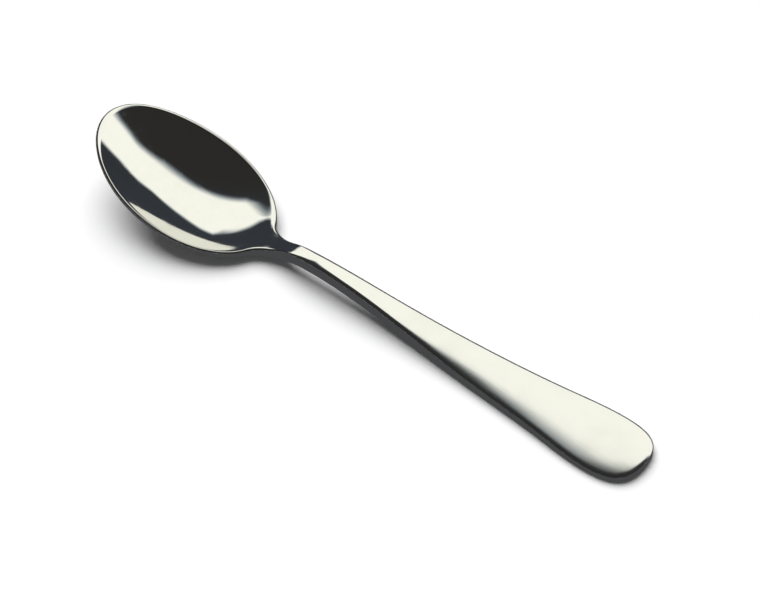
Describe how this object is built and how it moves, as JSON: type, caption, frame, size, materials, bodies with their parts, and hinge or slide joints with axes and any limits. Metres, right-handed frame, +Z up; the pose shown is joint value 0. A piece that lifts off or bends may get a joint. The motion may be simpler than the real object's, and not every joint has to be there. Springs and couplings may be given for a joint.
{
  "type": "teaspoon",
  "caption": "Plain polished steel teaspoon with an egg-shaped hollow bowl, a narrow neck and a flared handle with a rounded end.",
  "frame": {"origin": "middle of the spoon's length and width, on the table it lies on", "axes": "+X from the bowl's tip to the end of the handle, +Y across the spoon, +Z up out of the bowl"},
  "size_m": [0.14, 0.0288, 0.0146],
  "materials": {
    "mirror_steel": "mirror-polished stainless steel",
    "soft_polished_steel": "polished stainless steel, softened by fine use marks"
  },
  "bodies": {
    "root": {"bowl": "mirror_steel", "neck": "mirror_steel", "stem": "soft_polished_steel", "handle": "soft_polished_steel"}
  },
  "joints": []
}
